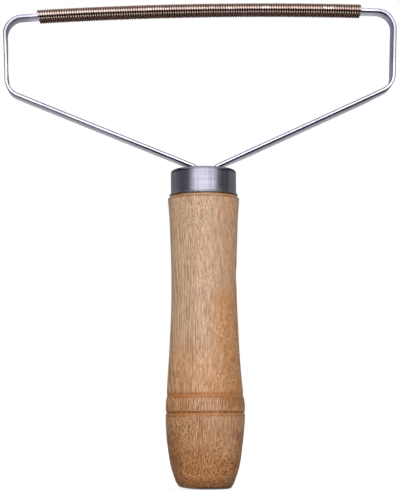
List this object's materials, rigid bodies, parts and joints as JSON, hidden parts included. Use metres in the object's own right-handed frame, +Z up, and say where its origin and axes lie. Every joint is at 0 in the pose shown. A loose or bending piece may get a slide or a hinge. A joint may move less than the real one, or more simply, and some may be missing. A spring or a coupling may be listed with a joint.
{
  "type": "lint remover",
  "caption": "Hand-held lint remover: a bent steel strip in a turned wooden handle, its top bar wound with copper wire that scrapes fluff off cloth.",
  "frame": {"origin": "middle of the handle's flat butt, which the tool stands on", "axes": "+Z up along the handle towards the head, +X to the right along the wound bar, -Y out of the front face"},
  "size_m": [0.1425, 0.0284, 0.1748],
  "materials": {
    "oiled_hardwood": "turned and oiled, fine vertical grain",
    "drawn_steel": "drawn, finely brushed around",
    "bright_strip_steel": "bright strip with eased edges",
    "dark_copper": "dark copper wire, polished where it rubs",
    "set_resin": "cast, hidden in the handle"
  },
  "bodies": {
    "root": {"wood_handle": "oiled_hardwood", "ferrule_cap": "drawn_steel", "frame_strip": "bright_strip_steel", "copper_winding": "dark_copper", "resin_plug": "set_resin"}
  },
  "joints": []
}
